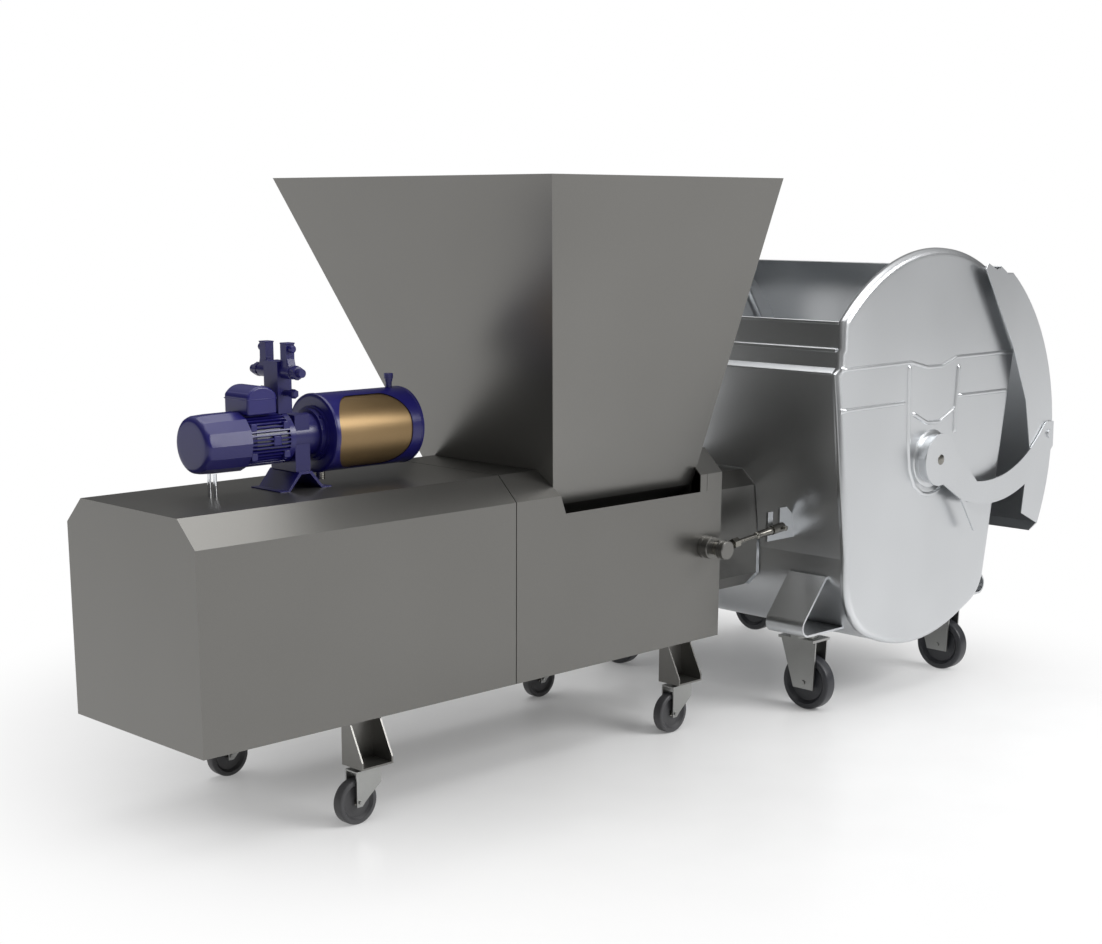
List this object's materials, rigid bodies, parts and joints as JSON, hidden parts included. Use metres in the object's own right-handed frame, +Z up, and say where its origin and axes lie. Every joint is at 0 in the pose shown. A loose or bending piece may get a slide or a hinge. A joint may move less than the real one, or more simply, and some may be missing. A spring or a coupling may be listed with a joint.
{
  "type": "trash compactor",
  "caption": "Mobile hydraulic waste press with a funnel hopper and a deck-mounted power pack, docked by tie rods to a wheeled lidded waste container.",
  "frame": {"origin": "centre of the footprint's bounding box, on the floor", "axes": "+X from the press to the container, +Y to the far side of the press, +Z up"},
  "size_m": [3.407, 1.188, 1.673],
  "materials": {
    "press_steel": "brushed and clear coated steel sheet, satin",
    "primer_steel": "grey primer, matt",
    "ram_steel": "ground steel, worn bright at the face",
    "wear_plastic": "milled polyethylene",
    "black_enamel": "black enamel, semi-gloss",
    "hard_chrome": "hard chrome, polished",
    "blue_paint": "deep blue paint, glossy",
    "stator_steel": "laminated electrical steel",
    "cast_aluminium": "cast aluminium, as cast",
    "bronze": "brushed bronze",
    "blue_casting": "deep blue paint on a casting, glossy",
    "blue_plastic": "moulded plastic in the same deep blue",
    "bright_steel": "bright zinc plated steel",
    "galvanised": "hot dip galvanised sheet, satin",
    "zinc_steel": "zinc plated pressed steel",
    "black_rubber": "solid rubber tread",
    "grey_rubber": "solid rubber tread on a steel disc"
  },
  "bodies": {
    "press_and_container": {"rear_hood": "press_steel", "rear_end_plate": "press_steel", "front_housing": "press_steel", "front_plate": "press_steel", "floor_plate": "press_steel", "chassis_rails": "primer_steel", "hopper_side_walls": "press_steel", "hopper_end_walls": "press_steel", "press_chamber": "press_steel", "docking_spout": "press_steel", "cylinder_barrel": "black_enamel", "caster_legs": "press_steel", "fan_cowl": "blue_paint", "motor_frame": "blue_paint", "motor_stator": "stator_steel", "pump_carrier": "blue_casting", "gear_pump": "cast_aluminium", "tank_shell": "blue_paint", "tank_liner": "bronze", "drain_plug": "bright_steel", "pack_foot": "blue_paint", "terminal_box": "blue_paint", "valve_manifold": "blue_casting", "solenoid_valves": "blue_plastic", "relief_valves": "blue_casting", "support_studs": "hard_chrome", "hydraulic_pipes": "bright_steel", "tie_rod_bosses": "press_steel", "container_trough": "galvanised", "container_end_panels": "galvanised", "container_brackets": "galvanised", "container_hook_plates": "galvanised", "container_hubs": "galvanised"},
    "ram_carriage": {"ram": "ram_steel", "ram_wear_strips": "wear_plastic", "piston_rod": "hard_chrome"},
    "rotor": {"motor_rotor": "stator_steel"},
    "cap": {"filler_cap": "blue_plastic"},
    "lid": {"container_lid": "galvanised", "lid_arms": "galvanised"},
    "tie_rod_near_swing": {"tie_rod_near": "bright_steel"},
    "tie_nut_near_turn": {"tie_nut_near": "bright_steel"},
    "tie_rod_far_swing": {"tie_rod_far": "bright_steel"},
    "tie_nut_far_turn": {"tie_nut_far": "bright_steel"},
    "press_fork_rear_near_swivel": {"press_fork_rear_near": "zinc_steel"},
    "press_wheel_rear_near_roll": {"press_wheel_rear_near": "black_rubber"},
    "press_fork_rear_far_swivel": {"press_fork_rear_far": "zinc_steel"},
    "press_wheel_rear_far_roll": {"press_wheel_rear_far": "black_rubber"},
    "press_fork_front_near_swivel": {"press_fork_front_near": "zinc_steel"},
    "press_wheel_front_near_roll": {"press_wheel_front_near": "black_rubber"},
    "press_fork_front_far_swivel": {"press_fork_front_far": "zinc_steel"},
    "press_wheel_front_far_roll": {"press_wheel_front_far": "black_rubber"},
    "container_fork_front_near_swivel": {"container_fork_front_near": "zinc_steel"},
    "container_wheel_front_near_roll": {"container_wheel_front_near": "grey_rubber"},
    "container_fork_front_far_swivel": {"container_fork_front_far": "zinc_steel"},
    "container_wheel_front_far_roll": {"container_wheel_front_far": "grey_rubber"},
    "container_fork_rear_near_swivel": {"container_fork_rear_near": "zinc_steel"},
    "container_wheel_rear_near_roll": {"container_wheel_rear_near": "grey_rubber"},
    "container_fork_rear_far_swivel": {"container_fork_rear_far": "zinc_steel"},
    "container_wheel_rear_far_roll": {"container_wheel_rear_far": "grey_rubber"}
  },
  "joints": [
    {"name": "ram_slide", "type": "slide", "parent": "press_and_container", "child": "ram_carriage", "axis": [1, 0, 0], "range_m": [0, 0.65]},
    {"name": "rotor_spin", "type": "hinge", "parent": "press_and_container", "child": "rotor", "pos_m": [-1.2935, 0, 1.001], "axis": [1, 0, 0], "continuous": true},
    {"name": "filler_cap_lift", "type": "slide", "parent": "press_and_container", "child": "cap", "axis": [0, 0, 1], "range_m": [0, 0.06]},
    {"name": "lid_hinge", "type": "hinge", "parent": "press_and_container", "child": "lid", "pos_m": [0.9985, 0, 0.79], "axis": [0, 1, 0], "range_deg": [-72, 0]},
    {"name": "tie_rod_near_swing", "type": "hinge", "parent": "press_and_container", "child": "tie_rod_near_swing", "pos_m": [0.1645, -0.3495, 0.568], "axis": [0, 1, 0], "range_deg": [-110, 0]},
    {"name": "tie_nut_near_turn", "type": "hinge", "parent": "tie_rod_near_swing", "child": "tie_nut_near_turn", "pos_m": [0.24309, -0.3495, 0.57601], "axis": [0.9948, 0, 0.1014], "continuous": true},
    {"name": "tie_rod_far_swing", "type": "hinge", "parent": "press_and_container", "child": "tie_rod_far_swing", "pos_m": [0.1645, 0.3495, 0.568], "axis": [0, 1, 0], "range_deg": [-110, 0]},
    {"name": "tie_nut_far_turn", "type": "hinge", "parent": "tie_rod_far_swing", "child": "tie_nut_far_turn", "pos_m": [0.24309, 0.3495, 0.57601], "axis": [0.9948, 0, 0.1014], "continuous": true},
    {"name": "press_fork_rear_near_swivel", "type": "hinge", "parent": "press_and_container", "child": "press_fork_rear_near_swivel", "pos_m": [-1.1885, -0.291, 0.13], "axis": [0, 0, 1], "continuous": true},
    {"name": "press_wheel_rear_near_roll", "type": "hinge", "parent": "press_fork_rear_near_swivel", "child": "press_wheel_rear_near_roll", "pos_m": [-1.2335, -0.291, 0.0625], "axis": [0, 1, 0], "continuous": true},
    {"name": "press_fork_rear_far_swivel", "type": "hinge", "parent": "press_and_container", "child": "press_fork_rear_far_swivel", "pos_m": [-1.1885, 0.291, 0.13], "axis": [0, 0, 1], "continuous": true},
    {"name": "press_wheel_rear_far_roll", "type": "hinge", "parent": "press_fork_rear_far_swivel", "child": "press_wheel_rear_far_roll", "pos_m": [-1.2335, 0.291, 0.0625], "axis": [0, 1, 0], "continuous": true},
    {"name": "press_fork_front_near_swivel", "type": "hinge", "parent": "press_and_container", "child": "press_fork_front_near_swivel", "pos_m": [0.0655, -0.291, 0.13], "axis": [0, 0, 1], "continuous": true},
    {"name": "press_wheel_front_near_roll", "type": "hinge", "parent": "press_fork_front_near_swivel", "child": "press_wheel_front_near_roll", "pos_m": [0.0205, -0.291, 0.0625], "axis": [0, 1, 0], "continuous": true},
    {"name": "press_fork_front_far_swivel", "type": "hinge", "parent": "press_and_container", "child": "press_fork_front_far_swivel", "pos_m": [0.0655, 0.291, 0.13], "axis": [0, 0, 1], "continuous": true},
    {"name": "press_wheel_front_far_roll", "type": "hinge", "parent": "press_fork_front_far_swivel", "child": "press_wheel_front_far_roll", "pos_m": [0.0205, 0.291, 0.0625], "axis": [0, 1, 0], "continuous": true},
    {"name": "container_fork_front_near_swivel", "type": "hinge", "parent": "press_and_container", "child": "container_fork_front_near_swivel", "pos_m": [0.5555, -0.395, 0.23], "axis": [0, 0, 1], "continuous": true},
    {"name": "container_wheel_front_near_roll", "type": "hinge", "parent": "container_fork_front_near_swivel", "child": "container_wheel_front_near_roll", "pos_m": [0.5555, -0.421, 0.09], "axis": [1, 0, 0], "continuous": true},
    {"name": "container_fork_front_far_swivel", "type": "hinge", "parent": "press_and_container", "child": "container_fork_front_far_swivel", "pos_m": [0.5555, 0.395, 0.23], "axis": [0, 0, 1], "continuous": true},
    {"name": "container_wheel_front_far_roll", "type": "hinge", "parent": "container_fork_front_far_swivel", "child": "container_wheel_front_far_roll", "pos_m": [0.5555, 0.421, 0.09], "axis": [1, 0, 0], "continuous": true},
    {"name": "container_fork_rear_near_swivel", "type": "hinge", "parent": "press_and_container", "child": "container_fork_rear_near_swivel", "pos_m": [1.3265, -0.395, 0.23], "axis": [0, 0, 1], "continuous": true},
    {"name": "container_wheel_rear_near_roll", "type": "hinge", "parent": "container_fork_rear_near_swivel", "child": "container_wheel_rear_near_roll", "pos_m": [1.3265, -0.421, 0.09], "axis": [1, 0, 0], "continuous": true},
    {"name": "container_fork_rear_far_swivel", "type": "hinge", "parent": "press_and_container", "child": "container_fork_rear_far_swivel", "pos_m": [1.3265, 0.395, 0.23], "axis": [0, 0, 1], "continuous": true},
    {"name": "container_wheel_rear_far_roll", "type": "hinge", "parent": "container_fork_rear_far_swivel", "child": "container_wheel_rear_far_roll", "pos_m": [1.3265, 0.421, 0.09], "axis": [1, 0, 0], "continuous": true}
  ]
}
